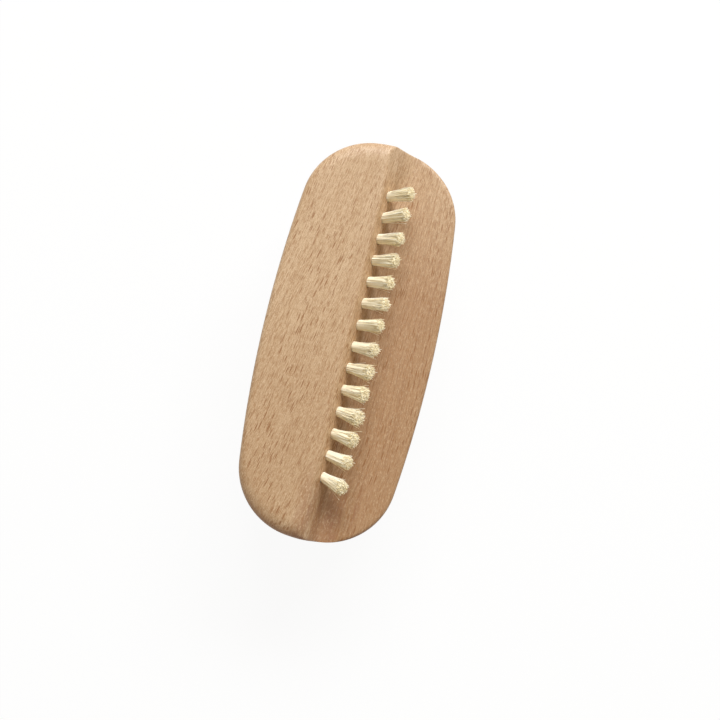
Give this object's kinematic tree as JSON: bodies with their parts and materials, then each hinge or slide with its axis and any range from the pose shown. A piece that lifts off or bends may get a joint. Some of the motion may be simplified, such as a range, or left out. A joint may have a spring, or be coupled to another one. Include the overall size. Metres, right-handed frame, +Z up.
{
  "type": "nail brush",
  "caption": "Double-sided wooden nail brush: rounded oblong block with a stepped top, a slanted single row of bristle tufts on the step and a field of tufts underneath.",
  "frame": {"origin": "middle of the object's box in plan, on the plane of the trimmed underside bristle tips", "axes": "+X along the body, +Y across it from the ledge to the high side, +Z up from the bristle tips to the high face"},
  "size_m": [0.095, 0.0406, 0.0365],
  "materials": {
    "beech": "bare sanded beech with fine dark ray flecks, unvarnished",
    "bristle": "pale natural bristle, cream, cut square at the tips",
    "anchor_wire": "flat bright staple wire"
  },
  "bodies": {
    "root": {"body": "beech", "upper_tuft_01": "bristle", "upper_tuft_02": "bristle", "upper_tuft_03": "bristle", "upper_tuft_04": "bristle", "upper_tuft_05": "bristle", "upper_tuft_06": "bristle", "upper_tuft_07": "bristle", "upper_tuft_08": "bristle", "upper_tuft_09": "bristle", "upper_tuft_10": "bristle", "upper_tuft_11": "bristle", "upper_tuft_12": "bristle", "upper_tuft_13": "bristle", "upper_tuft_14": "bristle", "upper_anchor_01": "anchor_wire", "upper_anchor_02": "anchor_wire", "upper_anchor_03": "anchor_wire", "upper_anchor_04": "anchor_wire", "upper_anchor_05": "anchor_wire", "upper_anchor_06": "anchor_wire", "upper_anchor_07": "anchor_wire", "upper_anchor_08": "anchor_wire", "upper_anchor_09": "anchor_wire", "upper_anchor_10": "anchor_wire", "upper_anchor_11": "anchor_wire", "upper_anchor_12": "anchor_wire", "upper_anchor_13": "anchor_wire", "upper_anchor_14": "anchor_wire", "field_row_1": "bristle", "field_row_2": "bristle", "field_row_3": "bristle", "field_row_4": "bristle", "field_row_5": "bristle", "field_anchors_1": "anchor_wire", "field_anchors_2": "anchor_wire", "field_anchors_3": "anchor_wire", "field_anchors_4": "anchor_wire", "field_anchors_5": "anchor_wire"}
  },
  "joints": []
}
